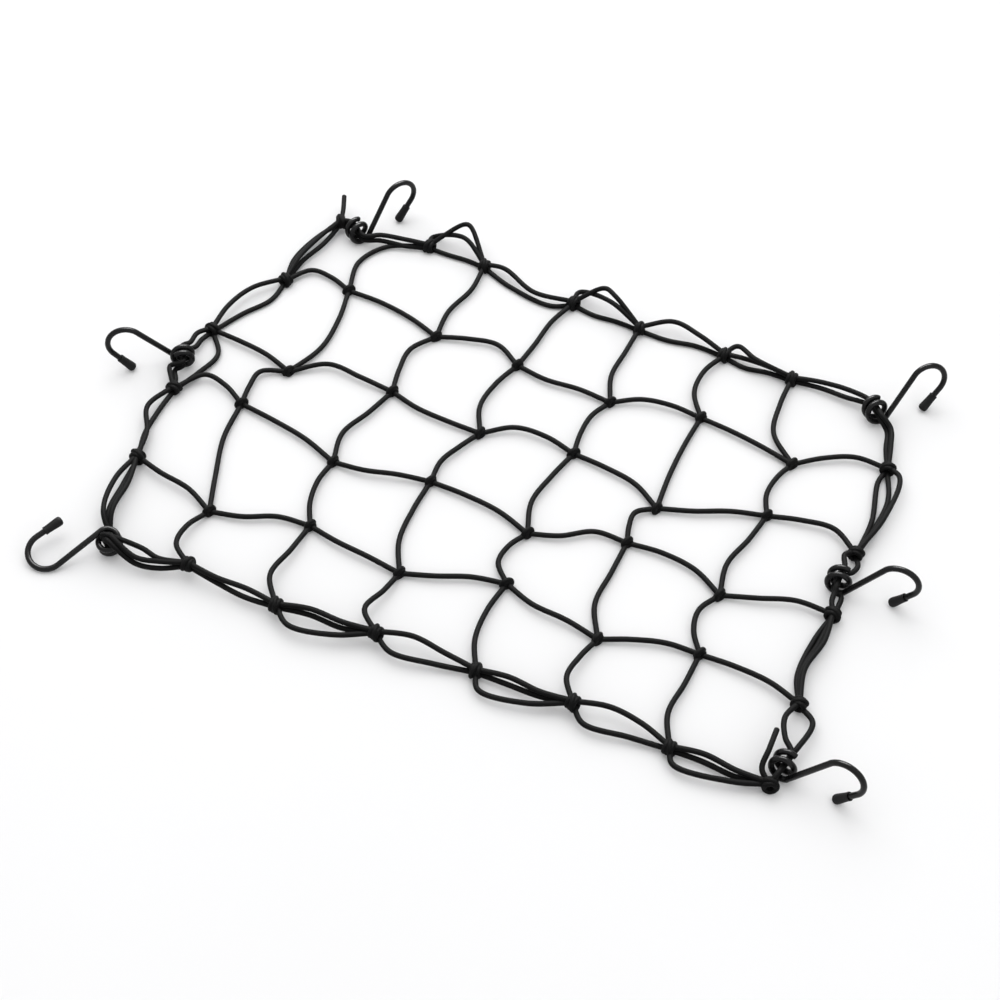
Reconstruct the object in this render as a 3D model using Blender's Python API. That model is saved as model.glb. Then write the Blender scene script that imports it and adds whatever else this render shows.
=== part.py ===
"""Elastic cargo net with six wire hooks, lying loose on a flat surface.

The net is one knotted web of elastic cord: inner cords from side to side and from far to near, tied where they
cross, and a doubled border cord that runs through the ring of each hook. X runs along the net's long side, Y from
the near side to the far side, Z up. The lowest point is at z = 0. The tables below are in millimetres, measured
from the middle of the grid of meshes; the model is built in metres about the middle of its own box.
"""
import math
from collections import namedtuple

import bmesh
import bpy
from mathutils import Matrix, Vector

MM = 0.001

# ---------------------------------------------------------------- driving dimensions, millimetres
CORD_D = 3.2            # braided elastic cord
WIRE_D = 3.4            # steel wire with its plastic coat
RING_R = 6.5            # hook ring, to the middle of the wire
RING_TURNS = 1.75
RING_PITCH = 6.0        # one turn of the ring to the next, loosely wound
SHANK = 34.0            # ring to the start of the bend
BEND_R = 12.0
LEG = 15.0              # straight leg after the bend, with the end inside the cover
COVER_LENGTH = 13.0     # soft cover pushed on the end of the leg
COVER_BORE_DEPTH = 9.5
GAP = 0.3               # left between pieces that touch
GRID_CENTRE = (0.4, -5.9)  # where the middle of the grid lies in the model

CORD_SIDES = 1          # bevel resolution of a cord: 6 sides
WIRE_SIDES = 2          # bevel resolution of the wire: 8 sides
TURN_PER_POINT = math.radians(31)   # a cord gets a new point after this much turning
LONGEST_SPAN = 40.0     # or after this length

BLACK_CORD = ((0.012, 0.012, 0.013), 0.75)
BLACK_COAT = ((0.010, 0.010, 0.011), 0.35)
BLACK_COVER = ((0.014, 0.014, 0.015), 0.55)

# ---------------------------------------------------------------- knots
# x, y and z are the middle of a knot, and turn is the plan direction of its barrel in degrees.
Knot = namedtuple("Knot", "name x y z turn")
INNER_KNOTS = (
    Knot("K11", -169, 109, 2.8, -30), Knot("K21", -94, 92, 2.8, -38), Knot("K31", -32, 89, 2.8, -32),
    Knot("K41", 38, 82, 2.8, -25), Knot("K51", 98, 93, 2.8, -30), Knot("K61", 166, 78, 2.8, -28),
    Knot("K12", -171, 22, 2.8, -20), Knot("K22", -99, 33, 2.8, -35), Knot("K32", -30, 22, 2.8, -22),
    Knot("K42", 33, 30, 2.8, -30), Knot("K52", 99, 8, 2.8, -18), Knot("K62", 165, 30, 2.8, -35),
    Knot("K13", -186, -17, 2.8, -28), Knot("K23", -107, -39, 2.8, -24), Knot("K33", -42, -29, 2.8, -30),
    Knot("K43", 32, -44, 2.8, -22), Knot("K53", 92, -26, 2.8, -34), Knot("K63", 159, -42, 2.8, -26),
    Knot("K14", -160, -108, 2.8, -20), Knot("K24", -96, -93, 2.8, -30), Knot("K34", -28, -105, 2.8, -25),
    Knot("K44", 36, -86, 2.8, -35), Knot("K54", 103, -103, 2.8, -20), Knot("K64", 163, -89, 2.8, -30),
)
BORDER_KNOTS = (
    Knot("T1", -136, 172, 3.8, -8), Knot("T2", -92, 169, 3.8, 4), Knot("T3", -20, 159, 3.8, -10),
    Knot("T4", 31, 154, 3.8, 6), Knot("T5", 93, 153, 3.8, -6), Knot("T6", 142, 150, 3.8, 3),
    Knot("B1", -148, -155, 9, -5), Knot("B2", -84, -161, 8, 5), Knot("B3", -19, -156, 9, -4),
    Knot("B4", 46, -155, 5, 4), Knot("B5", 108, -155, 8, -6), Knot("B6", 170, -160, 5, 2),
    Knot("L1", -214, 100, 3.8, 68), Knot("L2", -237, 36, 3.8, 80), Knot("L3", -233, -24, 5, 96),
    Knot("L4", -224, -87, 5, 86), Knot("R1", 224, 98, 3.8, 100), Knot("R2", 226, 21, 5, 92),
    Knot("R3", 227, -30, 5, 84), Knot("R4", 229, -101, 5, 94), Knot("TT", -204, 167, 7, 35),
    Knot("BT", 231, -161, 6, 105),
)

# ---------------------------------------------------------------- hooks
# x, y and z are the middle of the ring. heading is the plan direction from the ring to the bend, pitch how far the
# shank points up, and roll the turn of the bend about the shank; side is +1 or -1 for a bend to the left or right.
Hook = namedtuple("Hook", "name x y z heading pitch roll side")
HOOKS = (
    Hook("far_left", -188.0, 162.0, 8.4, 55.4, 51.3, -92.5, -1),
    Hook("mid_left", -240.6, 1.8, 8.6, 205.3, 50.7, -83.5, 1),
    Hook("near_left", -202.2, -158.6, 9.0, 239.2, -12.6, 13.9, -1),
    Hook("near_right", 234.3, -147.0, 8.4, -5.8, 51.2, -84.9, -1),
    Hook("mid_right", 222.9, -5.6, 8.4, 0.0, 51.6, -91.0, -1),
    Hook("far_right", 202.3, 140.2, 9.2, 53.4, 48.2, -71.8, -1),
)

# ---------------------------------------------------------------- cords
# An inner cord runs through its knots. Between two knots it bows to the left by near and far, a third and two thirds
# of the way, and arches up by lift.
InnerCord = namedtuple("InnerCord", "knots near far lift")
INNER_CORDS = (
    InnerCord("L1 K11 K21 K31 K41 K51 K61 R1",
              (14, 4, 7, -3, 6, 1, 6), (10, 4, 11, 0, 5, 1, 8), (0, 0, 1, 1, 2, 1, 1)),
    InnerCord("L2 K12 K22 K32 K42 K52 K62 R2",
              (2, 12, -4, 10, 4, -1, 7), (3, 6, -3, 8, 6, 1, 11), (1, 2, 1, 2, 1, 1, 1)),
    InnerCord("L3 K13 K23 K33 K43 K53 K63 R3",
              (17, 2, -3, 3, 0, 6, 2), (12, 3, -1, 4, 6, 7, 5), (1, 1, 2, 1, 1, 1, 1)),
    InnerCord("L4 K14 K24 K34 K44 K54 K64 R4",
              (0, -1, -2, 0, -4, 3, 3), (3, 3, -1, 2, -1, 4, 4), (2, 1, 2, 1, 2, 1, 1)),
    InnerCord("T1 K11 K12 K13 K14 B1", (-20, 7, -13, -5, -10), (-20, 9, -8, -3, -12), (-1, 0, 1, 0, 1)),
    InnerCord("T2 K21 K22 K23 K24 B2", (2, -9, -3, -5, -5), (-3, -6, -8, -5, -11), (0, 1, 1, 1, 1)),
    InnerCord("T3 K31 K32 K33 K34 B3", (-3, -7, -3, -5, -5), (-1, -9, -5, -7, -12), (0, 1, 1, 0, 1)),
    InnerCord("T4 K41 K42 K43 K44 B4", (-3, -5, -5, -8, -6), (-6, -4, -8, -10, -7), (0, 1, 1, 1, 0)),
    InnerCord("T5 K51 K52 K53 K54 B5", (-9, -2, -9, -4, -6), (-10, -2, -6, -8, -9), (1, 0, 1, 0, 1)),
    InnerCord("T6 K61 K62 K63 K64 B6", (-8, -5, -2, -9, -3), (-12, -6, -6, -8, -7), (1, 1, 1, 1, 0)),
)

# A border cord runs from one knot or ring to the next. rise is its height above the middle of the knots, which
# keeps the cords of a bundle one above the other; near_at and far_at say how far along the two bows are.
Span = namedtuple("Span", "start end near far lift rise near_at far_at", defaults=(0.33, 0.67))
UPPER, LOWER = 1.75, -1.75
BORDER_SPANS = (
    # far side
    Span("T1", "T2", 11, 9, 9, UPPER, -0.08, 0.54), Span("T1", "T2", 19, 19, 12, UPPER, 0.41, 0.52),
    Span("T1", "T2", 0, 1, 0, LOWER),
    Span("T2", "T3", 3, -7, 1, UPPER, 0.20, 0.62), Span("T2", "T3", -7, -9, 0, LOWER, 0.34, 0.81),
    Span("T3", "T4", 11, 4, 9, UPPER, -0.02, 0.52), Span("T3", "T4", 12, 8, 12, UPPER, 0.34, 0.54),
    Span("T3", "T4", -2, 0, 0, LOWER),
    Span("T4", "T5", 11, 6, 4, UPPER), Span("T4", "T5", -1, 2, 0, LOWER),
    Span("T5", "T6", 8, -1, 6, UPPER, 0.12, 0.46), Span("T5", "T6", 2, 2, 0, UPPER),
    Span("T5", "T6", -3, 0, 0, LOWER),
    # right side
    Span("R1", "R2", -3, 2, 0, LOWER, 0.14, 0.60), Span("R1", "R2", 9, 9, 2, UPPER, 0.08, 0.58),
    Span("R1", "R2", 7, 5, 0, LOWER),
    Span("R3", "R4", -5, -7, 0, LOWER, 0.29, 0.72), Span("R3", "R4", 1, -4, 1, UPPER),
    Span("R3", "R4", -2, -6, 0, LOWER),
    # near side
    Span("B1", "B2", -1, 1, 0, UPPER), Span("B1", "B2", -2, -3, 0, LOWER),
    Span("B2", "B3", 3, 0, 0, UPPER), Span("B2", "B3", 1, -2, 0, LOWER),
    Span("B2", "B3", -11, -9, -1, 0, 0.19, 0.62),
    Span("B3", "B4", 6, 3, 0, UPPER), Span("B3", "B4", -8, -5, 0, LOWER, 0.20, 0.60),
    Span("B4", "B5", 2, -1, 0, UPPER), Span("B4", "B5", -1, -2, 0, LOWER),
    Span("B4", "B5", -12, -10, -1, 0, 0.11, 0.58),
    Span("B5", "B6", 7, 6, 0, UPPER), Span("B5", "B6", -9, -4, 0, LOWER, 0.18, 0.62),
    Span("B6", "BT", 3, 0, 0, UPPER), Span("B6", "BT", 0, -2, 0, LOWER),
    Span("B6", "BT", -10, -7, 0, 0, 0.10, 0.66),
    # left side
    Span("TT", "L1", -6, -8, 0, LOWER, 0.24, 0.68), Span("TT", "L1", 1, -2, 0, LOWER),
    Span("TT", "L1", -2, -3, 2, UPPER),
    Span("L1", "L2", -9, -8, 1, UPPER), Span("L1", "L2", 6, 2, 0, LOWER, 0.29, 0.62),
    Span("L2", "L3", 13, 8, 0, LOWER),
    Span("L3", "L4", -10, -2, 0, UPPER), Span("L3", "L4", -3, -4, 0, LOWER),
)
# The cords that pass through a ring come as one span into it and one out of it, in the same order. A span with no
# bows runs straight between the ring and the knot beside it.
INTO_RINGS = (
    Span("TT", "far_left", None, None, 0, UPPER), Span("TT", "far_left", None, None, 0, LOWER),
    Span("T6", "far_right", 5, 7, 0, UPPER, 0.30, 0.62), Span("T6", "far_right", 3, 3, 0, LOWER, 0.33, 0.62),
    Span("R2", "mid_right", -5, -1, 1, UPPER, 0.24, 0.60), Span("R2", "mid_right", 5, 3, 0, LOWER, 0.32, 0.62),
    Span("R4", "near_right", -6, -3, 1, UPPER, 0.30, 0.62), Span("R4", "near_right", 10, 5, 2, LOWER, 0.24, 0.70),
    Span("L2", "mid_left", -5, -3, 0, UPPER, 0.30, 0.62), Span("L2", "mid_left", -1, 0, 0, LOWER, 0.33, 0.62),
    Span("L4", "near_left", -9, -9, 0, UPPER, 0.30, 0.70), Span("L4", "near_left", 0, -4, 0, UPPER),
    Span("L4", "near_left", -4, -7, 0, LOWER),
)
OUT_OF_RINGS = (
    Span("far_left", "T1", -1, 0, 0, UPPER), Span("far_left", "T1", -3, -3, 0, LOWER),
    Span("far_right", "R1", 7, 5, 0, UPPER, 0.36, 0.62), Span("far_right", "R1", 5, 2, 0, LOWER, 0.36, 0.64),
    Span("mid_right", "R3", -1, -2, 0, UPPER, 0.40, 0.67), Span("mid_right", "R3", 3, 2, 0, LOWER, 0.40, 0.77),
    Span("near_right", "BT", None, None, 0, UPPER), Span("near_right", "BT", None, None, 0, LOWER),
    Span("mid_left", "L3", -6, -4, 0, UPPER, 0.40, 0.67), Span("mid_left", "L3", -3, -1, 0, LOWER, 0.40, 0.67),
    Span("near_left", "B1", -7, -5, 0, UPPER, 0.40, 0.70), Span("near_left", "B1", 1, -3, 0, UPPER, 0.40, 0.66),
    Span("near_left", "B1", -9, -8, 0, LOWER, 0.40, 0.68),
)
# Where two or three cords lie in a ring, across and up from its middle.
RING_PLACES = {2: ((0.3, 1.8), (-0.3, -1.8)), 3: ((1.8, 1.2), (-1.8, 1.2), (0.0, -1.9))}
RING_REACH = 8.5        # a cord runs straight this far on each side of the middle of a ring

# The two free ends: the steps of each, from its tie, in x, y and height of the middle of the cord.
FREE_ENDS = (
    ("TT", ((-3.0, 10.0, 9.0), (-8.0, 22.0, 11.0))),
    ("BT", ((-7.2, 6.0, 9.0), (-7.2, 18.0, 13.0), (-7.6, 33.0, 12.0))),
)

# Turned profiles, as distance along the axis and radius.
INNER_KNOT_PROFILE = ((-3.6, 1.8), (-2.0, 3.5), (0.0, 2.8), (2.0, 3.5), (3.6, 1.8))
BORDER_KNOT_PROFILE = ((-5.2, 2.6), (-2.9, 4.8), (0.0, 4.0), (2.9, 4.8), (5.2, 2.6))
COVER_PROFILE = ((0.0, 2.5), (8.0, 3.0), (11.0, 3.1), (12.4, 2.4), (13.0, 1.0))
KNOT_SIDES = 6
COVER_SIDES = 10


def clear_scene():
    """Remove every object that the file opened with."""
    for item in list(bpy.data.objects):
        bpy.data.objects.remove(item, do_unlink=True)


def new_collection(name):
    """A new collection in the scene."""
    collection = bpy.data.collections.new(name)
    bpy.context.scene.collection.children.link(collection)
    return collection


def make_material(name, finish):
    """A plain Principled material from a colour and a roughness."""
    colour, roughness = finish
    material = bpy.data.materials.new(name)
    material.use_nodes = True
    shader = material.node_tree.nodes["Principled BSDF"]
    shader.inputs["Base Color"].default_value = (*colour, 1.0)
    shader.inputs["Roughness"].default_value = roughness
    shader.inputs["Metallic"].default_value = 0.0
    return material


def in_model(point):
    """A place measured from the grid's middle in millimetres, as a place in the model in metres."""
    return Vector((point[0] + GRID_CENTRE[0], point[1] + GRID_CENTRE[1], point[2])) * MM


# ---------------------------------------------------------------- curves
def smooth_curve(points, steps=24):
    """Points along a smooth curve through the given ones, with `steps` between each two."""
    ends = [points[0] * 2 - points[1]] + list(points) + [points[-1] * 2 - points[-2]]
    curve = [points[0].copy()]
    for before, start, end, after in zip(ends, ends[1:], ends[2:], ends[3:]):
        spans = [max((q - p).length, 1e-6) ** 0.5 for p, q in ((before, start), (start, end), (end, after))]
        leave = tangent(before, start, end, spans[0], spans[1]) * spans[1]
        arrive = tangent(start, end, after, spans[1], spans[2]) * spans[1]
        for step in range(1, steps + 1):
            t = step / steps
            square, cube = t * t, t * t * t
            curve.append(start * (2 * cube - 3 * square + 1) + leave * (cube - 2 * square + t)
                         + end * (3 * square - 2 * cube) + arrive * (cube - square))
    return curve


def tangent(before, here, after, span_before, span_after):
    """Speed of a centripetal Catmull-Rom curve at `here`."""
    return ((here - before) / span_before - (after - before) / (span_before + span_after)
            + (after - here) / span_after)


def thin_out(curve):
    """Keep the points that the curve's shape needs: one for each small turn, or after a long straight."""
    kept = [curve[0]]
    heading = (curve[1] - curve[0]).normalized()
    for here, ahead in zip(curve[1:-1], curve[2:]):
        onward = (ahead - here).normalized()
        if heading.angle(onward) > TURN_PER_POINT or (ahead - kept[-1]).length > LONGEST_SPAN:
            kept.append(here)
            heading = onward
    kept.append(curve[-1])
    return kept


def span_points(start, end, span):
    """The four points of a span: its ends and its two bows."""
    rise = Vector((0, 0, span.rise))
    along = end - start
    left = Vector((-along.y, along.x, 0)).normalized()
    bows = []
    for side, at in ((span.near, span.near_at), (span.far, span.far_at)):
        if side is not None:
            bows.append(start + rise + along * at + left * side + Vector((0, 0, span.lift * 4 * at * (1 - at))))
    return [start + rise, *bows, end + rise]


def laid_route(points):
    """The route of a cord through the given points, lifted where it would be under the floor."""
    lowest = CORD_D / 2 + 0.05
    return thin_out([Vector((p.x, p.y, max(p.z, lowest))) for p in smooth_curve(points)])


# ---------------------------------------------------------------- cord routes
def knot_place(name):
    """The middle of a knot."""
    for knot in (*INNER_KNOTS, *BORDER_KNOTS):
        if knot.name == name:
            return Vector((knot.x, knot.y, knot.z))
    raise KeyError(name)


def hook_axes(hook):
    """The shank's direction, the direction from the shank to the leg, and the ring's axis."""
    heading, pitch, roll = (math.radians(angle) for angle in (hook.heading, hook.pitch, hook.roll))
    shank = Vector((math.cos(heading) * math.cos(pitch), math.sin(heading) * math.cos(pitch), math.sin(pitch)))
    left = Vector((-math.sin(heading), math.cos(heading), 0))
    across = left * (hook.side * math.cos(roll)) + shank.cross(left) * math.sin(roll)
    return shank, across, shank.cross(across)


def ring_passes(hook, came_from, places):
    """For each place in a ring, the points where a cord goes in and comes out."""
    shank, across, axis = hook_axes(hook)
    middle = Vector((hook.x, hook.y, hook.z))
    if axis.dot(middle - came_from) < 0:
        axis = -axis
    up = (Vector((0, 0, 1)) - axis * axis.z).normalized()
    beside = up.cross(axis)
    for right, height in places:
        place = middle + beside * right + up * height
        yield place - axis * RING_REACH, place + axis * RING_REACH


def inner_route(cord):
    """The whole route of an inner cord, with a corner in each knot."""
    names = cord.knots.split()
    route = []
    for start, end, near, far, lift in zip(names, names[1:], cord.near, cord.far, cord.lift):
        points = span_points(knot_place(start), knot_place(end), Span(start, end, near, far, lift, 0))
        route += laid_route(points)[bool(route):]
    return route


def border_route(span):
    """The route of a border cord from one knot to the next."""
    points = span_points(knot_place(span.start), knot_place(span.end), span)
    return laid_route(points)


def ring_routes(hook):
    """The routes of the cords through a hook's ring, each from the knot before it to the knot after it."""
    middle = Vector((hook.x, hook.y, hook.z))
    coming = [span for span in INTO_RINGS if span.end == hook.name]
    going = [span for span in OUT_OF_RINGS if span.start == hook.name]
    passes = ring_passes(hook, knot_place(coming[0].start), RING_PLACES[len(coming)])
    for before, after, (enter, leave) in zip(coming, going, passes):
        points = span_points(knot_place(before.start), middle, before)[:-1]
        points += [enter, leave]
        points += span_points(middle, knot_place(after.end), after)[1:]
        yield laid_route(points)


def free_end_route(tie, steps):
    """The route of a free end that starts inside its tie."""
    start = knot_place(tie)
    points = [start] + [Vector((start.x + x, start.y + y, z)) for x, y, z in steps]
    return laid_route(points)


def cord_routes():
    """Every cord of the net, by name."""
    routes = {}
    for number, cord in enumerate(INNER_CORDS, 1):
        routes[f"inner_cord_{number:02d}"] = inner_route(cord)
    for number, span in enumerate(BORDER_SPANS, 1):
        routes[f"border_cord_{number:02d}"] = border_route(span)
    for hook in HOOKS:
        for number, route in enumerate(ring_routes(hook), 1):
            routes[f"ring_cord_{hook.name}_{number}"] = route
    for tie, steps in FREE_ENDS:
        routes[f"free_end_{tie}"] = free_end_route(tie, steps)
    return routes


# ---------------------------------------------------------------- solids
def tube(name, route, diameter, resolution, collection):
    """A round tube along a route, as a closed mesh."""
    curve = bpy.data.curves.new(name, "CURVE")
    curve.dimensions = "3D"
    curve.twist_mode = "MINIMUM"
    curve.bevel_depth = diameter / 2 * MM
    curve.bevel_resolution = resolution
    curve.use_fill_caps = True
    spline = curve.splines.new("POLY")
    spline.points.add(len(route) - 1)
    for point, place in zip(spline.points, route):
        point.co = (*in_model(place), 1.0)
    guide = bpy.data.objects.new(name + "_line", curve)
    collection.objects.link(guide)
    bpy.context.view_layer.update()
    evaluated = guide.evaluated_get(bpy.context.evaluated_depsgraph_get())
    mesh = bpy.data.meshes.new_from_object(evaluated)
    shape = bmesh.new()
    shape.from_mesh(mesh)
    bmesh.ops.remove_doubles(shape, verts=shape.verts, dist=0.00001)
    bmesh.ops.recalc_face_normals(shape, faces=shape.faces)
    shape.to_mesh(mesh)
    shape.free()
    item = bpy.data.objects.new(name, mesh)
    item.matrix_world = guide.matrix_world
    collection.objects.link(item)
    bpy.data.objects.remove(guide, do_unlink=True)
    return item


def turned(name, profile, sides, placing, collection, floor=False):
    """A solid turned about X from a profile in millimetres, placed by a matrix, and cut flat at the floor."""
    shape = bmesh.new()
    points = [(profile[0][0], 0.0), *profile, (profile[-1][0], 0.0)]
    line = [shape.verts.new((along * MM, 0.0, radius * MM)) for along, radius in points]
    edges = [shape.edges.new(pair) for pair in zip(line, line[1:])]
    bmesh.ops.spin(shape, geom=line + edges, axis=(1, 0, 0), angle=2 * math.pi, steps=sides, use_merge=True)
    bmesh.ops.remove_doubles(shape, verts=shape.verts, dist=0.00001)
    bmesh.ops.transform(shape, matrix=placing, verts=shape.verts)
    if floor:
        everything = shape.verts[:] + shape.edges[:] + shape.faces[:]
        cut = bmesh.ops.bisect_plane(shape, geom=everything, plane_co=(0, 0, 0), plane_no=(0, 0, 1),
                                     clear_inner=True)
        rim = [edge for edge in cut["geom_cut"] if isinstance(edge, bmesh.types.BMEdge)]
        bmesh.ops.holes_fill(shape, edges=rim)
    bmesh.ops.recalc_face_normals(shape, faces=shape.faces)
    mesh = bpy.data.meshes.new(name)
    shape.to_mesh(mesh)
    shape.free()
    item = bpy.data.objects.new(name, mesh)
    collection.objects.link(item)
    return item


def knot_solid(knot, profile, collection):
    """A ridged knot: a barrel of wraps, flat where it lies on the floor."""
    half_side = math.pi / KNOT_SIDES
    placing = (Matrix.Translation(in_model((knot.x, knot.y, knot.z)))
               @ Matrix.Rotation(math.radians(knot.turn), 4, "Z") @ Matrix.Rotation(half_side, 4, "X"))
    return turned("knot_" + knot.name, profile, KNOT_SIDES, placing, collection, floor=True)


def build_net(material, collection, cutters):
    """The net: all its cords and knots joined into one solid."""
    for name, route in cord_routes().items():
        tube(name, route, CORD_D, CORD_SIDES, cutters)
    for knot in INNER_KNOTS:
        knot_solid(knot, INNER_KNOT_PROFILE, cutters)
    for knot in BORDER_KNOTS[1:]:
        knot_solid(knot, BORDER_KNOT_PROFILE, cutters)
    for item in cutters.objects:
        item.display_type = "WIRE"
        item.hide_render = True
    net = knot_solid(BORDER_KNOTS[0], BORDER_KNOT_PROFILE, collection)
    net.name = "net"
    net.data.materials.append(material)
    union = net.modifiers.new("Union", "BOOLEAN")
    union.operation = "UNION"
    union.operand_type = "COLLECTION"
    union.collection = cutters
    union.solver = "EXACT"
    return net


def hook_route(hook):
    """The wire of a hook: ring, shank, bend and leg, with its own plane's sizes placed by the hook's axes."""
    shank, across, axis = hook_axes(hook)
    half_width = RING_TURNS / 2 * RING_PITCH
    flat = []
    steps_in_ring = round(RING_TURNS * 12)
    for step in range(steps_in_ring + 1):
        angle = (step / steps_in_ring - 1) * RING_TURNS * 2 * math.pi
        sideways = half_width - step / steps_in_ring * 2 * half_width
        flat.append((RING_R * math.sin(angle), RING_R * math.cos(angle), sideways))
    steps_in_bend = 9
    for step in range(steps_in_bend + 1):
        angle = math.pi * step / steps_in_bend
        flat.append((SHANK + BEND_R * math.sin(angle), RING_R + BEND_R * (1 - math.cos(angle)), 0.0))
    flat.append((SHANK - LEG, RING_R + 2 * BEND_R, 0.0))
    middle = Vector((hook.x, hook.y, hook.z))
    return [middle + shank * u + across * v + axis * w for u, v, w in flat]


def build_hook(hook, material, collection):
    """A hook's coated wire."""
    wire = tube("hook_" + hook.name, hook_route(hook), WIRE_D, WIRE_SIDES, collection)
    wire.data.materials.append(material)
    return wire


def build_cover(hook, material, collection):
    """The soft cover on a hook's leg, with a blind bore for the wire."""
    shank, across, axis = hook_axes(hook)
    bore = (WIRE_D / 2 + GAP) / math.cos(math.pi / COVER_SIDES)
    mouth_at = SHANK - LEG + COVER_BORE_DEPTH - GAP
    middle = Vector((hook.x, hook.y, hook.z)) + shank * mouth_at + across * (RING_R + 2 * BEND_R)
    placing = Matrix((-shank, across, -axis)).transposed().to_4x4()
    placing = Matrix.Translation(in_model(middle)) @ placing
    profile = ((COVER_BORE_DEPTH, bore), (0.0, bore), *COVER_PROFILE)
    cover = turned("tip_" + hook.name, profile, COVER_SIDES, placing, collection)
    cover.data.materials.append(material)
    return cover


def main():
    """Build the net, its hooks and their covers."""
    clear_scene()
    parts = new_collection("Cargo net")
    cutters = new_collection("Net strands")
    cord = make_material("Braided elastic cord", BLACK_CORD)
    coat = make_material("Coated wire", BLACK_COAT)
    soft = make_material("Soft cover", BLACK_COVER)
    build_net(cord, parts, cutters)
    for hook in HOOKS:
        build_hook(hook, coat, parts)
        build_cover(hook, soft, parts)
    for item in parts.objects:
        item.data.shade_smooth()
        item.data.set_sharp_from_angle(angle=math.radians(40))


main()
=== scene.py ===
"""Looks of the elastic cargo net: braided cord, wrapped knots, coated hooks, soft covers and a stage.

The net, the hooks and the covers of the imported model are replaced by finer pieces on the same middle
lines. The tables of these lines are those of the part's source, in millimetres from the middle of the
grid of meshes.
"""
import math
from collections import namedtuple

import bmesh
import bpy
from bpy.props import FloatProperty, FloatVectorProperty, IntProperty, PointerProperty
from mathutils import Matrix, Vector


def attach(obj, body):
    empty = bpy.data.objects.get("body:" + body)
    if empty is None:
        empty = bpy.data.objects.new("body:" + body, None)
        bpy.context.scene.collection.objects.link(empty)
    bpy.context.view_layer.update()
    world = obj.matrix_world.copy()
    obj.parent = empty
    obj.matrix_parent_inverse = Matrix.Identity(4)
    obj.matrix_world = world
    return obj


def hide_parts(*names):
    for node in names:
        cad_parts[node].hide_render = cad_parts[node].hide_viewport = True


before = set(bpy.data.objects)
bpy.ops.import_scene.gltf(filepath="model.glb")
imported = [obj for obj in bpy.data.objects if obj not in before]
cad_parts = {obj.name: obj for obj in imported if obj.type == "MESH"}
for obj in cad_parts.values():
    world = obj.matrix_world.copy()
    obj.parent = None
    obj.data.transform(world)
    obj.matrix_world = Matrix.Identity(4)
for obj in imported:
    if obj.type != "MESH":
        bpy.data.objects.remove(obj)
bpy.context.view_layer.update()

bl_info = {
    "name": "Elastic cargo net",
    "version": (1, 0, 0),
    "blender": (4, 5, 0),
    "location": "3D View > Sidebar > Cargo net",
    "description": "Dresses a packed cargo net: braided cord, wrapped knots, coated hooks, soft covers",
    "category": "Object",
}

MM = 0.001
TURN = 2 * math.pi
BODY = "root"               # the net has no joints, so it has one body
GRID_CENTRE = (0.4, -5.9)   # where the middle of the grid lies in the model, in millimetres

# ---------------------------------------------------------------- places of the knots
# x, y and z are the middle of a knot, and turn is the plan direction of its barrel in degrees.
Knot = namedtuple("Knot", "name x y z turn")
INNER_KNOTS = (
    Knot("K11", -169, 109, 2.8, -30), Knot("K21", -94, 92, 2.8, -38),
    Knot("K31", -32, 89, 2.8, -32), Knot("K41", 38, 82, 2.8, -25),
    Knot("K51", 98, 93, 2.8, -30), Knot("K61", 166, 78, 2.8, -28),
    Knot("K12", -171, 22, 2.8, -20), Knot("K22", -99, 33, 2.8, -35),
    Knot("K32", -30, 22, 2.8, -22), Knot("K42", 33, 30, 2.8, -30),
    Knot("K52", 99, 8, 2.8, -18), Knot("K62", 165, 30, 2.8, -35),
    Knot("K13", -186, -17, 2.8, -28), Knot("K23", -107, -39, 2.8, -24),
    Knot("K33", -42, -29, 2.8, -30), Knot("K43", 32, -44, 2.8, -22),
    Knot("K53", 92, -26, 2.8, -34), Knot("K63", 159, -42, 2.8, -26),
    Knot("K14", -160, -108, 2.8, -20), Knot("K24", -96, -93, 2.8, -30),
    Knot("K34", -28, -105, 2.8, -25), Knot("K44", 36, -86, 2.8, -35),
    Knot("K54", 103, -103, 2.8, -20), Knot("K64", 163, -89, 2.8, -30),
)
BORDER_KNOTS = (
    Knot("T1", -136, 172, 3.8, -8), Knot("T2", -92, 169, 3.8, 4), Knot("T3", -20, 159, 3.8, -10),
    Knot("T4", 31, 154, 3.8, 6), Knot("T5", 93, 153, 3.8, -6), Knot("T6", 142, 150, 3.8, 3),
    Knot("B1", -148, -155, 9, -5), Knot("B2", -84, -161, 8, 5), Knot("B3", -19, -156, 9, -4),
    Knot("B4", 46, -155, 5, 4), Knot("B5", 108, -155, 8, -6), Knot("B6", 170, -160, 5, 2),
    Knot("L1", -214, 100, 3.8, 68), Knot("L2", -237, 36, 3.8, 80), Knot("L3", -233, -24, 5, 96),
    Knot("L4", -224, -87, 5, 86), Knot("R1", 224, 98, 3.8, 100), Knot("R2", 226, 21, 5, 92),
    Knot("R3", 227, -30, 5, 84), Knot("R4", 229, -101, 5, 94), Knot("TT", -204, 167, 7, 35),
    Knot("BT", 231, -161, 6, 105),
)

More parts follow.
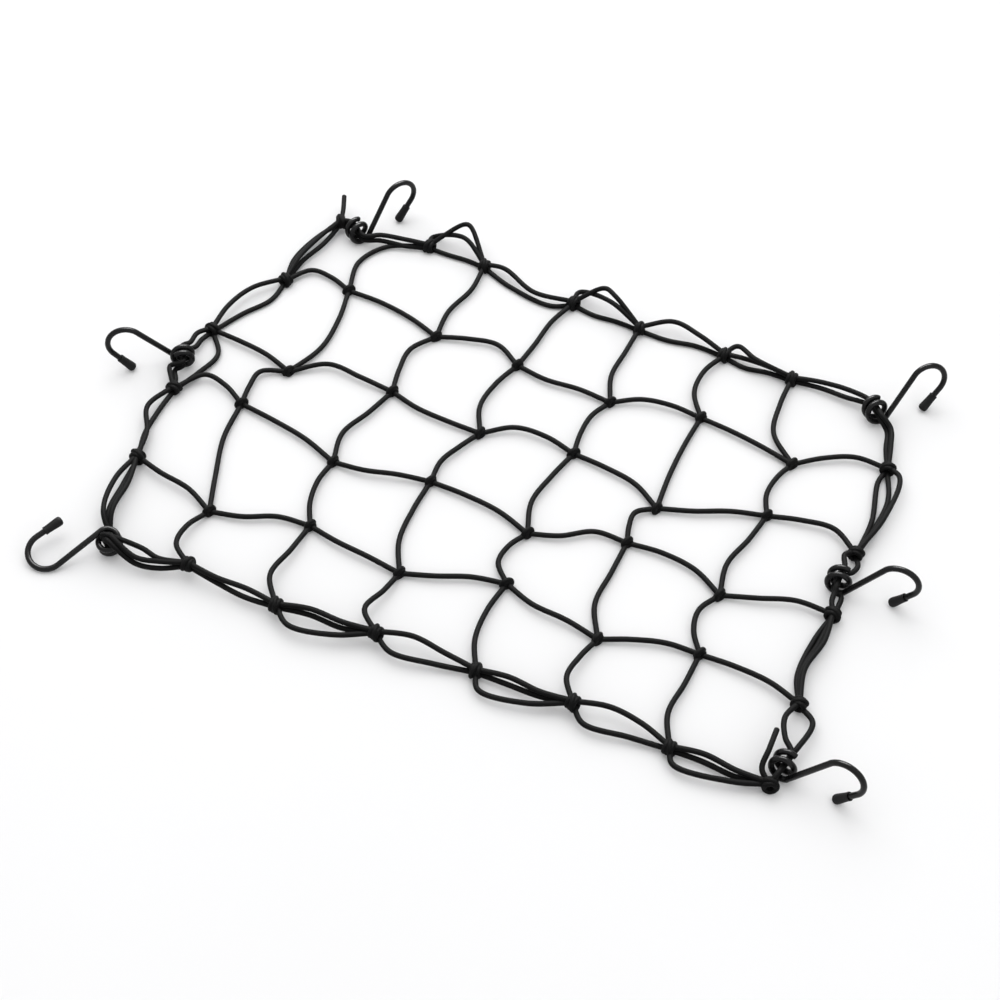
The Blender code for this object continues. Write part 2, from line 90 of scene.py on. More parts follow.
# ---------------------------------------------------------------- places of the hooks
# x, y and z are the middle of the ring. heading is the plan direction from the ring to the bend, pitch
# how far the shank points up, and roll the turn of the bend about the shank, all three in degrees.
# side is +1 or -1 for a bend to the left or right.
Hook = namedtuple("Hook", "name x y z heading pitch roll side")
HOOKS = (
    Hook("far_left", -188.0, 162.0, 8.4, 55.4, 51.3, -92.5, -1),
    Hook("mid_left", -240.6, 1.8, 8.6, 205.3, 50.7, -83.5, 1),
    Hook("near_left", -202.2, -158.6, 9.0, 239.2, -12.6, 13.9, -1),
    Hook("near_right", 234.3, -147.0, 8.4, -5.8, 51.2, -84.9, -1),
    Hook("mid_right", 222.9, -5.6, 8.4, 0.0, 51.6, -91.0, -1),
    Hook("far_right", 202.3, 140.2, 9.2, 53.4, 48.2, -71.8, -1),
)

# ---------------------------------------------------------------- lines of the cords
# An inner cord runs through its knots. Between two knots it bows to the left by near and far, a third
# and two thirds of the way, and arches up by lift.
InnerCord = namedtuple("InnerCord", "knots near far lift")
INNER_CORDS = (
    InnerCord("L1 K11 K21 K31 K41 K51 K61 R1",
              (14, 4, 7, -3, 6, 1, 6), (10, 4, 11, 0, 5, 1, 8), (0, 0, 1, 1, 2, 1, 1)),
    InnerCord("L2 K12 K22 K32 K42 K52 K62 R2",
              (2, 12, -4, 10, 4, -1, 7), (3, 6, -3, 8, 6, 1, 11), (1, 2, 1, 2, 1, 1, 1)),
    InnerCord("L3 K13 K23 K33 K43 K53 K63 R3",
              (17, 2, -3, 3, 0, 6, 2), (12, 3, -1, 4, 6, 7, 5), (1, 1, 2, 1, 1, 1, 1)),
    InnerCord("L4 K14 K24 K34 K44 K54 K64 R4",
              (0, -1, -2, 0, -4, 3, 3), (3, 3, -1, 2, -1, 4, 4), (2, 1, 2, 1, 2, 1, 1)),
    InnerCord("T1 K11 K12 K13 K14 B1", (-20, 7, -13, -5, -10), (-20, 9, -8, -3, -12), (-1, 0, 1, 0, 1)),
    InnerCord("T2 K21 K22 K23 K24 B2", (2, -9, -3, -5, -5), (-3, -6, -8, -5, -11), (0, 1, 1, 1, 1)),
    InnerCord("T3 K31 K32 K33 K34 B3", (-3, -7, -3, -5, -5), (-1, -9, -5, -7, -12), (0, 1, 1, 0, 1)),
    InnerCord("T4 K41 K42 K43 K44 B4", (-3, -5, -5, -8, -6), (-6, -4, -8, -10, -7), (0, 1, 1, 1, 0)),
    InnerCord("T5 K51 K52 K53 K54 B5", (-9, -2, -9, -4, -6), (-10, -2, -6, -8, -9), (1, 0, 1, 0, 1)),
    InnerCord("T6 K61 K62 K63 K64 B6", (-8, -5, -2, -9, -3), (-12, -6, -6, -8, -7), (1, 1, 1, 1, 0)),
)

# A border cord runs from one knot or ring to the next. rise is its height above the middle of the
# knots, which keeps the cords of a bundle one above the other. near_at and far_at say how far along
# the two bows are, as a part of the way.
Span = namedtuple("Span", "start end near far lift rise near_at far_at", defaults=(0.33, 0.67))
UPPER, LOWER = 1.75, -1.75
BORDER_SPANS = (
    # far side
    Span("T1", "T2", 11, 9, 9, UPPER, -0.08, 0.54), Span("T1", "T2", 19, 19, 12, UPPER, 0.41, 0.52),
    Span("T1", "T2", 0, 1, 0, LOWER),
    Span("T2", "T3", 3, -7, 1, UPPER, 0.20, 0.62), Span("T2", "T3", -7, -9, 0, LOWER, 0.34, 0.81),
    Span("T3", "T4", 11, 4, 9, UPPER, -0.02, 0.52), Span("T3", "T4", 12, 8, 12, UPPER, 0.34, 0.54),
    Span("T3", "T4", -2, 0, 0, LOWER),
    Span("T4", "T5", 11, 6, 4, UPPER), Span("T4", "T5", -1, 2, 0, LOWER),
    Span("T5", "T6", 8, -1, 6, UPPER, 0.12, 0.46), Span("T5", "T6", 2, 2, 0, UPPER),
    Span("T5", "T6", -3, 0, 0, LOWER),
    # right side
    Span("R1", "R2", -3, 2, 0, LOWER, 0.14, 0.60), Span("R1", "R2", 9, 9, 2, UPPER, 0.08, 0.58),
    Span("R1", "R2", 7, 5, 0, LOWER),
    Span("R3", "R4", -5, -7, 0, LOWER, 0.29, 0.72), Span("R3", "R4", 1, -4, 1, UPPER),
    Span("R3", "R4", -2, -6, 0, LOWER),
    # near side
    Span("B1", "B2", -1, 1, 0, UPPER), Span("B1", "B2", -2, -3, 0, LOWER),
    Span("B2", "B3", 3, 0, 0, UPPER), Span("B2", "B3", 1, -2, 0, LOWER),
    Span("B2", "B3", -11, -9, -1, 0, 0.19, 0.62),
    Span("B3", "B4", 6, 3, 0, UPPER), Span("B3", "B4", -8, -5, 0, LOWER, 0.20, 0.60),
    Span("B4", "B5", 2, -1, 0, UPPER), Span("B4", "B5", -1, -2, 0, LOWER),
    Span("B4", "B5", -12, -10, -1, 0, 0.11, 0.58),
    Span("B5", "B6", 7, 6, 0, UPPER), Span("B5", "B6", -9, -4, 0, LOWER, 0.18, 0.62),
    Span("B6", "BT", 3, 0, 0, UPPER), Span("B6", "BT", 0, -2, 0, LOWER),
    Span("B6", "BT", -10, -7, 0, 0, 0.10, 0.66),
    # left side
    Span("TT", "L1", -6, -8, 0, LOWER, 0.24, 0.68), Span("TT", "L1", 1, -2, 0, LOWER),
    Span("TT", "L1", -2, -3, 2, UPPER),
    Span("L1", "L2", -9, -8, 1, UPPER), Span("L1", "L2", 6, 2, 0, LOWER, 0.29, 0.62),
    Span("L2", "L3", 13, 8, 0, LOWER),
    Span("L3", "L4", -10, -2, 0, UPPER), Span("L3", "L4", -3, -4, 0, LOWER),
)
# The cords that pass through a ring come as one span into it and one out of it, in the same order. A
# span with no bows runs straight between the ring and the knot beside it.
INTO_RINGS = (
    Span("TT", "far_left", None, None, 0, UPPER), Span("TT", "far_left", None, None, 0, LOWER),
    Span("T6", "far_right", 5, 7, 0, UPPER, 0.30, 0.62),
    Span("T6", "far_right", 3, 3, 0, LOWER, 0.33, 0.62),
    Span("R2", "mid_right", -5, -1, 1, UPPER, 0.24, 0.60),
    Span("R2", "mid_right", 5, 3, 0, LOWER, 0.32, 0.62),
    Span("R4", "near_right", -6, -3, 1, UPPER, 0.30, 0.62),
    Span("R4", "near_right", 10, 5, 2, LOWER, 0.24, 0.70),
    Span("L2", "mid_left", -5, -3, 0, UPPER, 0.30, 0.62),
    Span("L2", "mid_left", -1, 0, 0, LOWER, 0.33, 0.62),
    Span("L4", "near_left", -9, -9, 0, UPPER, 0.30, 0.70), Span("L4", "near_left", 0, -4, 0, UPPER),
    Span("L4", "near_left", -4, -7, 0, LOWER),
)
OUT_OF_RINGS = (
    Span("far_left", "T1", -1, 0, 0, UPPER), Span("far_left", "T1", -3, -3, 0, LOWER),
    Span("far_right", "R1", 7, 5, 0, UPPER, 0.36, 0.62),
    Span("far_right", "R1", 5, 2, 0, LOWER, 0.36, 0.64),
    Span("mid_right", "R3", -1, -2, 0, UPPER, 0.40, 0.67),
    Span("mid_right", "R3", 3, 2, 0, LOWER, 0.40, 0.77),
    Span("near_right", "BT", None, None, 0, UPPER), Span("near_right", "BT", None, None, 0, LOWER),
    Span("mid_left", "L3", -6, -4, 0, UPPER, 0.40, 0.67),
    Span("mid_left", "L3", -3, -1, 0, LOWER, 0.40, 0.67),
    Span("near_left", "B1", -7, -5, 0, UPPER, 0.40, 0.70),
    Span("near_left", "B1", 1, -3, 0, UPPER, 0.40, 0.66),
    Span("near_left", "B1", -9, -8, 0, LOWER, 0.40, 0.68),
)
# Where two or three cords lie in a ring, across and up from its middle.
RING_PLACES = {2: ((0.3, 1.8), (-0.3, -1.8)), 3: ((1.8, 1.2), (-1.8, 1.2), (0.0, -1.9))}
RING_REACH = 8.5        # a cord runs straight this far on each side of the middle of a ring
FLOOR_GAP = 0.03        # a cord is at least this far above the floor
CURVE_STEPS = 24        # steps of a smooth curve between two of the points that it is given
NO_LENGTH = 1e-6        # stands for no length where a curve is divided by it

# The two free ends: the steps of each, from its tie, in x, y and height of the middle of the cord.
FREE_ENDS = (
    ("TT", ((-3.0, 10.0, 9.0), (-8.0, 22.0, 11.0))),
    ("BT", ((-7.2, 6.0, 9.0), (-7.2, 18.0, 13.0), (-7.6, 33.0, 12.0))),
)


# ================================================================ settings
class CordSettings(bpy.types.PropertyGroup):
    """The elastic cord and its knots."""
    diameter: FloatProperty(
        name="Diameter", description="Braided cord, lying slack", default=3.45 * MM, unit="LENGTH")
    wrap_diameter: FloatProperty(
        name="Wrap diameter", description="The cord where a knot pulls it tight",
        default=3.0 * MM, unit="LENGTH")
    step: FloatProperty(
        name="Step", description="From one ring of faces to the next along a cord",
        default=1.6 * MM, unit="LENGTH")
    resolution: IntProperty(
        name="Resolution", description="Bevel resolution of the cords", default=4)
    rib_count: IntProperty(
        name="Ribs", description="Yarns of the braid around the cord, each way", default=8)
    rib_lay: FloatProperty(
        name="Lay", description="Length in which a yarn goes once around the cord",
        default=13.0 * MM, unit="LENGTH")
    yarn_colour: FloatVectorProperty(
        name="Yarn", description="Crests of the yarns", subtype="COLOR",
        default=(0.0060, 0.0060, 0.0063))
    # Painted shade: the gaps between the yarns are coloured much darker than the crests, standing in for
    # the shade that falls in them.
    gap_shade_colour: FloatVectorProperty(
        name="Gaps", description="Between the yarns", subtype="COLOR",
        default=(0.0012, 0.0012, 0.0012))
    core_colour: FloatVectorProperty(
        name="Core", description="Rubber core at a cut end", subtype="COLOR",
        default=(0.42, 0.41, 0.39))


class HookSettings(bpy.types.PropertyGroup):
    """The coated wire hooks and their covers."""
    wire: FloatProperty(
        name="Wire", description="Steel wire with its plastic coat", default=3.8 * MM, unit="LENGTH")
    ring_radius: FloatProperty(
        name="Ring radius", description="To the middle of the wire", default=6.5 * MM, unit="LENGTH")
    ring_turns: FloatProperty(
        name="Ring turns", description="Turns of wire in the ring", default=1.75)
    ring_pitch: FloatProperty(
        name="Ring pitch", description="One turn of the ring to the next",
        default=6.0 * MM, unit="LENGTH")
    shank: FloatProperty(
        name="Shank", description="Ring to the start of the bend", default=34.0 * MM, unit="LENGTH")
    bend_radius: FloatProperty(
        name="Bend radius", description="To the middle of the wire", default=12.0 * MM, unit="LENGTH")
    leg: FloatProperty(
        name="Leg", description="Straight end after the bend", default=15.0 * MM, unit="LENGTH")
    cover_bore: FloatProperty(
        name="Cover bore", description="Depth of the blind bore in a cover",
        default=9.5 * MM, unit="LENGTH")
    coat_colour: FloatVectorProperty(
        name="Coat", description="Plastic coat of the wire", subtype="COLOR",
        default=(0.0020, 0.0020, 0.0022))
    cover_colour: FloatVectorProperty(
        name="Cover", description="Soft covers", subtype="COLOR",
        default=(0.0060, 0.0060, 0.0063))


class StageSettings(bpy.types.PropertyGroup):
    """Floor, light and camera."""
    floor_colour: FloatVectorProperty(
        name="Floor", description="Plain pale floor", subtype="COLOR", default=(0.86, 0.86, 0.865))
    key_power: FloatProperty(
        name="Key light", description="Large soft light, far and left", default=17.5, unit="POWER")
    gloss_power: FloatProperty(
        name="Gloss light", description="Light that only adds gloss", default=75.0, unit="POWER")
    sky: FloatProperty(
        name="Surround", description="Strength of the even light from all around", default=0.84)
    lens: FloatProperty(
        name="Lens", description="Focal length", default=72.0, unit="CAMERA")


# ================================================================ routes
def in_model(point):
    """A place measured from the grid's middle in millimetres, as a place in the model in metres."""
    return Vector((point[0] + GRID_CENTRE[0], point[1] + GRID_CENTRE[1], point[2])) * MM


def smooth_curve(points, steps=CURVE_STEPS):
    """Points along a smooth curve through the given ones, in `steps` steps between each two."""
    ends = [points[0] * 2 - points[1]] + list(points) + [points[-1] * 2 - points[-2]]
    curve = [points[0].copy()]
    for before, start, end, after in zip(ends, ends[1:], ends[2:], ends[3:]):
        pairs = ((before, start), (start, end), (end, after))
        spans = [max((q - p).length, NO_LENGTH) ** 0.5 for p, q in pairs]
        leave = tangent(before, start, end, spans[0], spans[1]) * spans[1]
        arrive = tangent(start, end, after, spans[1], spans[2]) * spans[1]
        for step in range(1, steps + 1):
            t = step / steps
            square, cube = t * t, t * t * t
            curve.append(start * (2 * cube - 3 * square + 1) + leave * (cube - 2 * square + t)
                         + end * (3 * square - 2 * cube) + arrive * (cube - square))
    return curve


def tangent(before, here, after, span_before, span_after):
    """Speed of a centripetal Catmull-Rom curve at `here`."""
    return ((here - before) / span_before - (after - before) / (span_before + span_after)
            + (after - here) / span_after)


def length_of(route):
    """Length of a route."""
    return sum((q - p).length for p, q in zip(route, route[1:]))


def evenly(route, step):
    """The same route with its points one step apart, so that a pattern on the cord keeps its scale."""
    count = max(2, round(length_of(route) / step))
    spacing = length_of(route) / count
    even, travelled, due = [route[0]], 0.0, spacing
    for start, end in zip(route, route[1:]):
        piece = (end - start).length
        while travelled + piece >= due and len(even) < count:
            even.append(start.lerp(end, (due - travelled) / piece))
            due += spacing
        travelled += piece
    return even + [route[-1]]


def span_points(start, end, span):
    """The four points of a span: its ends and its two bows."""
    rise = Vector((0, 0, span.rise))
    along = end - start
    left = Vector((-along.y, along.x, 0)).normalized()
    bows = []
    for side, at in ((span.near, span.near_at), (span.far, span.far_at)):
        if side is not None:
            arch = Vector((0, 0, span.lift * 4 * at * (1 - at)))
            bows.append(start + rise + along * at + left * side + arch)
    return [start + rise, *bows, end + rise]


def on_floor(points, radius):
    """The points, lifted where a cord of this radius would be under the floor."""
    return [Vector((p.x, p.y, max(p.z, radius + FLOOR_GAP))) for p in points]


def knot_place(name):
    """The middle of a knot."""
    for knot in (*INNER_KNOTS, *BORDER_KNOTS):
        if knot.name == name:
            return Vector((knot.x, knot.y, knot.z))
    raise KeyError(name)


def hook_axes(hook):
    """The shank's direction, the direction from the shank to the leg, and the ring's axis."""
    heading, pitch, roll = (math.radians(angle) for angle in (hook.heading, hook.pitch, hook.roll))
    shank = Vector((math.cos(heading) * math.cos(pitch), math.sin(heading) * math.cos(pitch),
                    math.sin(pitch)))
    left = Vector((-math.sin(heading), math.cos(heading), 0))
    across = left * (hook.side * math.cos(roll)) + shank.cross(left) * math.sin(roll)
    return shank, across, shank.cross(across)


def ring_passes(hook, came_from, places):
    """For each place in a ring, the points where a cord goes in and comes out."""
    shank, across, axis = hook_axes(hook)
    middle = Vector((hook.x, hook.y, hook.z))
    if axis.dot(middle - came_from) < 0:
        axis = -axis
    up = (Vector((0, 0, 1)) - axis * axis.z).normalized()
    beside = up.cross(axis)
    for right, height in places:
        place = middle + beside * right + up * height
        yield place - axis * RING_REACH, place + axis * RING_REACH


def inner_route(cord):
    """The whole route of an inner cord, with a corner in each knot."""
    names = cord.knots.split()
    route = []
    for start, end, near, far, lift in zip(names, names[1:], cord.near, cord.far, cord.lift):
        span = Span(start, end, near, far, lift, 0)
        piece = smooth_curve(span_points(knot_place(start), knot_place(end), span))
        route += piece[1:] if route else piece
    return route


def ring_routes(hook):
    """The routes of the cords through a ring, each from the knot before it to the knot after it."""
    middle = Vector((hook.x, hook.y, hook.z))
    coming = [span for span in INTO_RINGS if span.end == hook.name]
    going = [span for span in OUT_OF_RINGS if span.start == hook.name]
    passes = ring_passes(hook, knot_place(coming[0].start), RING_PLACES[len(coming)])
    for before, after, (enter, leave) in zip(coming, going, passes):
        points = span_points(knot_place(before.start), middle, before)[:-1]
        points += [enter, leave]
        points += span_points(middle, knot_place(after.end), after)[1:]
        yield smooth_curve(points)


def free_end_route(tie, steps):
    """The route of a free end that starts inside its tie."""
    start = knot_place(tie)
    return smooth_curve([start] + [Vector((start.x + x, start.y + y, z)) for x, y, z in steps])


# ================================================================ shapes
SAME_PLACE = 0.01 * MM      # corners of a mesh that are closer than this become one


def add_tube(shape, route, diameter, resolution):
    """Add a round tube along a route in millimetres, with its UV map in metres along and around it."""
    curve = bpy.data.curves.new("guide", "CURVE")
    curve.dimensions = "3D"
    curve.twist_mode = "MINIMUM"
    curve.bevel_depth = diameter / 2
    curve.bevel_resolution = resolution
    curve.use_fill_caps = True
    spline = curve.splines.new("POLY")
    spline.points.add(len(route) - 1)
    for point, place in zip(spline.points, route):
        point.co = (*in_model(place), 1.0)
    guide = bpy.data.objects.new("guide", curve)
    bpy.context.scene.collection.objects.link(guide)
    bpy.context.view_layer.update()
    depsgraph = bpy.context.evaluated_depsgraph_get()
    mesh = bpy.data.meshes.new_from_object(guide.evaluated_get(depsgraph))
    length, around = length_of(route) * MM, math.pi * diameter
    for corner in mesh.uv_layers[0].data:
        corner.uv = (corner.uv.x * length, corner.uv.y * around)
    vertices_before = len(shape.verts)
    shape.from_mesh(mesh)
    shape.verts.ensure_lookup_table()
    bmesh.ops.remove_doubles(shape, verts=shape.verts[vertices_before:], dist=SAME_PLACE)
    bpy.data.objects.remove(guide, do_unlink=True)
    bpy.data.curves.remove(curve)
    bpy.data.meshes.remove(mesh)


def turned(shape, profile, sides, placing):
    """Add a solid turned about X, from a profile of distance along X and radius in millimetres."""
    points = [(profile[0][0], 0.0), *profile, (profile[-1][0], 0.0)]
    line = [shape.verts.new((along * MM, 0.0, radius * MM)) for along, radius in points]
    edges = [shape.edges.new(pair) for pair in zip(line, line[1:])]
    bmesh.ops.spin(shape, geom=line + edges, axis=(1, 0, 0), angle=TURN, steps=sides,
                   use_merge=True)
    bmesh.ops.remove_doubles(shape, verts=shape.verts, dist=SAME_PLACE)
    bmesh.ops.transform(shape, matrix=placing, verts=shape.verts)
    sort_faces(shape)


def sort_faces(shape):
    """Put the faces in the order of their corners, because a spin's own order changes from run to run."""
    shape.verts.index_update()
    in_order = sorted(shape.faces, key=lambda face: sorted(corner.index for corner in face.verts))
    for number, face in enumerate(in_order):
        face.index = number
    shape.faces.sort()


def finished(name, shape, material, slot, *nodes, sharp=50):
    """Turn a mesh into a finished piece that stands for the given nodes.

    An edge whose faces meet at more than `sharp` degrees stays sharp.
    """
    bmesh.ops.recalc_face_normals(shape, faces=shape.faces)
    mesh = bpy.data.meshes.new(name)
    shape.to_mesh(mesh)
    shape.free()
    mesh.materials.append(material)
    mesh.shade_smooth()
    mesh.set_sharp_from_angle(angle=math.radians(sharp))
    piece = bpy.data.objects.new(name, mesh)
    bpy.context.scene.collection.objects.link(piece)
    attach(piece, BODY)
    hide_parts(*nodes)
    return piece


# ================================================================ materials
class Nodes:
    """Short ways to add and join shader nodes in a tree."""

    def __init__(self, tree):
        self.tree = tree

    def add(self, kind, settings=None, **inputs):
        """Add a node.

        An input is given by its name, with _ for a space, as a value or as another node's output.
        """
        node = self.tree.nodes.new(kind)
        for key, value in (settings or {}).items():
            setattr(node, key, value)
        for key, value in inputs.items():
            self.put(node, key.replace("_", " "), value)
        return node

    def put(self, node, key, value):
        """Set or join one input."""
        if isinstance(value, bpy.types.NodeSocket):
            self.tree.links.new(value, node.inputs[key])
        else:
            node.inputs[key].default_value = value

    def maths(self, operation, *values):
        """The output of a Math node."""
        node = self.tree.nodes.new("ShaderNodeMath")
        node.operation = operation
        for index, value in enumerate(values):
            self.put(node, index, value)
        return node.outputs[0]

    def mix(self, factor, first, second):
        """A mix of two colours."""
        node = self.tree.nodes.new("ShaderNodeMix")
        node.data_type = "RGBA"
        for key, value in ((0, factor), (6, first), (7, second)):
            self.put(node, key, value)
        return node.outputs[2]

    def spread(self, value, low, high, to_low, to_high):
        """A value moved from one range to another."""
        node = self.tree.nodes.new("ShaderNodeMapRange")
        for index, entry in enumerate((value, low, high, to_low, to_high)):
            self.put(node, index, entry)
        return node.outputs[0]


def new_group(name, inputs, outputs):
    """A shader node group with named sockets, and its input and output nodes."""
    tree = bpy.data.node_groups.new(name, "ShaderNodeTree")
    for label, kind in inputs:
        tree.interface.new_socket(name=label, in_out="INPUT", socket_type=kind)
    for label, kind in outputs:
        tree.interface.new_socket(name=label, in_out="OUTPUT", socket_type=kind)
    return tree, tree.nodes.new("NodeGroupInput"), tree.nodes.new("NodeGroupOutput")


def braid_group():
    """Diagonal yarns that cross over and under: height of the yarns, and a mask of their crests."""
    tree, given, result = new_group(
        "Braid",
        (("Place", "NodeSocketVector"), ("Ribs", "NodeSocketFloat"), ("Lay", "NodeSocketFloat"),
         ("Around", "NodeSocketFloat")),
        (("Height", "NodeSocketFloat"), ("Lit crest", "NodeSocketFloat")))
    nodes = Nodes(tree)
    place = nodes.add("ShaderNodeSeparateXYZ", Vector=given.outputs["Place"])
    full = nodes.maths("MULTIPLY", given.outputs["Ribs"], TURN)
    lays = nodes.maths("DIVIDE", place.outputs["X"], given.outputs["Lay"])
    turns = nodes.maths("DIVIDE", place.outputs["Y"], given.outputs["Around"])
    along, around = nodes.maths("MULTIPLY", lays, full), nodes.maths("MULTIPLY", turns, full)
    rising = nodes.maths("COSINE", nodes.maths("ADD", around, along))
    falling = nodes.maths("COSINE", nodes.maths("SUBTRACT", around, along))
    over = nodes.maths("MULTIPLY", nodes.maths("SINE", around), nodes.maths("SINE", along))
    first = nodes.maths("ADD", rising, over)
    second = nodes.maths("SUBTRACT", falling, over)
    height = nodes.maths("SMOOTH_MAX", first, second, 0.3)
    nodes.put(result, "Height", nodes.spread(height, -0.6, 1.8, 0.0, 1.0))
    # The crest mask paints light and shade into the cord's colour: crests lighter as painted sheen, gaps
    # darker as painted shade.
    nodes.put(result, "Lit crest", nodes.spread(height, 0.1, 1.4, 0.0, 1.0))
    return tree


def film_group():
    """Uneven film on a surface: a soft mask from two sizes of noise in object space."""
    tree, given, result = new_group(
        "Uneven film",
        (("Large", "NodeSocketFloat"), ("Fine", "NodeSocketFloat")),
        (("Mask", "NodeSocketFloat"), ("Grain", "NodeSocketFloat")))
    nodes = Nodes(tree)
    where = nodes.add("ShaderNodeTexCoord").outputs["Object"]
    large = nodes.add("ShaderNodeTexNoise", Vector=where, Scale=given.outputs["Large"], Detail=3.0,
                      Roughness=0.6)
    fine = nodes.add("ShaderNodeTexNoise", Vector=where, Scale=given.outputs["Fine"], Detail=4.0,
                     Roughness=0.7)
    nodes.put(result, "Mask", nodes.spread(large.outputs[0], 0.35, 0.65, 0.0, 1.0))
    nodes.put(result, "Grain", fine.outputs[0])
    return tree


def new_material(name):
    """An empty Principled material: its node helper and its shader."""
    material = bpy.data.materials.new(name)
    material.use_nodes = True
    return material, Nodes(material.node_tree), material.node_tree.nodes["Principled BSDF"]


def use_group(nodes, name, maker, **inputs):
    """Place a shared node group, made the first time it is needed."""
    tree = bpy.data.node_groups.get(name) or maker()
    node = nodes.add("ShaderNodeGroup", {"node_tree": tree})
    for key, value in inputs.items():
        nodes.put(node, key, value)
    return node


def rgba(colour, brightness=1.0):
    """A colour of the settings with its alpha, made lighter or darker."""
    return (*(brightness * part for part in colour), 1.0)


def set_values(shader, values):
    """Set inputs of a shader to values that are the same all over."""
    for key, value in values.items():
        shader.inputs[key].default_value = value


def cord_material(cord):
    """Black braided cord: crossing yarns with a dull sheen, painted lit crests and painted shaded gaps.
    """
    material, nodes, shader = new_material("Braided cord")
    place = nodes.add("ShaderNodeUVMap", {"uv_map": "UVMap"}).outputs["UV"]
    braid = use_group(nodes, "Braid", braid_group, Place=place, Ribs=float(cord.rib_count),
                      Lay=cord.rib_lay, Around=math.pi * cord.diameter)
    film = use_group(nodes, "Uneven film", film_group, Large=60.0, Fine=2600.0)
    yarn = nodes.mix(film.outputs["Mask"], rgba(cord.yarn_colour), rgba(cord.yarn_colour, 1.35))
    # Painted sheen and shade: the crests take the yarn colour and the gaps the much darker gap shade
    # colour.
    nodes.put(shader, "Base Color", nodes.mix(braid.outputs["Lit crest"], rgba(cord.gap_shade_colour), yarn))
    nodes.put(shader, "Roughness", nodes.spread(film.outputs["Grain"], 0.3, 0.7, 0.56, 0.78))
    fibres = nodes.maths("MULTIPLY", film.outputs["Grain"], 0.25)
    height = nodes.maths("ADD", braid.outputs["Height"], fibres)
    bump = nodes.add("ShaderNodeBump", Height=height, Strength=0.8, Distance=0.16 * MM)
    nodes.put(shader, "Normal", bump.outputs["Normal"])
    set_values(shader, {"Specular IOR Level": 0.10, "Sheen Weight": 0.01, "Sheen Roughness": 0.45})
    return material


def core_material(cord):
    """Pale rubber threads of the core, which show at a cut end."""
    material, nodes, shader = new_material("Cut rubber core")
    where = nodes.add("ShaderNodeTexCoord").outputs["Object"]
    threads = nodes.add("ShaderNodeTexVoronoi", Vector=where, Scale=2200.0)
    shade = nodes.spread(threads.outputs["Distance"], 0.1, 0.7, 0.0, 1.0)
    colour = nodes.mix(shade, rgba(cord.core_colour), rgba(cord.core_colour, 0.35))
    nodes.put(shader, "Base Color", colour)
    nodes.put(shader, "Roughness", nodes.spread(shade, 0.0, 1.0, 0.5, 0.7))
    bump = nodes.add("ShaderNodeBump", Height=threads.outputs["Distance"], Strength=0.6,
                     Distance=0.1 * MM)
    nodes.put(shader, "Normal", bump.outputs["Normal"])
    return material


def coat_material(hook):
    """Glossy black plastic coat, a little uneven from dipping."""
    material, nodes, shader = new_material("Coated wire")
    film = use_group(nodes, "Uneven film", film_group, Large=120.0, Fine=900.0)
    colour = nodes.mix(film.outputs["Mask"], rgba(hook.coat_colour), rgba(hook.coat_colour, 1.8))
    nodes.put(shader, "Base Color", colour)
    nodes.put(shader, "Roughness", nodes.spread(film.outputs["Grain"], 0.3, 0.7, 0.20, 0.34))
    bump = nodes.add("ShaderNodeBump", Height=film.outputs["Grain"], Strength=0.35, Distance=0.08 * MM)
    nodes.put(shader, "Normal", bump.outputs["Normal"])
    set_values(shader, {"Specular IOR Level": 0.22})
    return material


def cover_material(hook):
    """Dull soft plastic with a fine moulded grain."""
    material, nodes, shader = new_material("Soft cover")
    film = use_group(nodes, "Uneven film", film_group, Large=260.0, Fine=2400.0)
    colour = nodes.mix(film.outputs["Mask"], rgba(hook.cover_colour), rgba(hook.cover_colour, 1.6))
    nodes.put(shader, "Base Color", colour)
    nodes.put(shader, "Roughness", nodes.spread(film.outputs["Grain"], 0.3, 0.7, 0.44, 0.62))
    bump = nodes.add("ShaderNodeBump", Height=film.outputs["Grain"], Strength=0.5, Distance=0.12 * MM)
    nodes.put(shader, "Normal", bump.outputs["Normal"])
    set_values(shader, {"Specular IOR Level": 0.14})
    return material


def floor_material(stage):
    """Plain pale floor with a very fine even grain and no gloss."""
    material, nodes, shader = new_material("Pale floor")
    film = use_group(nodes, "Uneven film", film_group, Large=1.5, Fine=500.0)
    colour = nodes.mix(film.outputs["Mask"], rgba(stage.floor_colour), rgba(stage.floor_colour, 0.985))
    nodes.put(shader, "Base Color", colour)
    nodes.put(shader, "Roughness", nodes.spread(film.outputs["Grain"], 0.3, 0.7, 0.72, 0.80))
    set_values(shader, {"Specular IOR Level": 0.0})
    return material


def material_named(name, maker, settings):
    """The material of this name, made the first time it is needed."""
    return bpy.data.materials.get(name) or maker(settings)


# ================================================================ wrapped knots
WRAP_STEPS = 14         # points in one turn of the cord around a knot
SMOOTH_STEPS = 3        # steps of the smooth curve between two of them
TUCK = 1.3              # how far the two ends of the cord go in under the wraps, in millimetres
TUCK_TURN = 0.25        # the part of a turn in which they do
SWELL = 0.7             # below 1, so that the pass back stands out over the wraps for most of its way
UNEVEN = 0.05           # how much looser or tighter than its form a knot is pulled, at most
UNEVEN_STEP = 2.4       # radians of a sine from one knot to the next, so that no two are quite alike


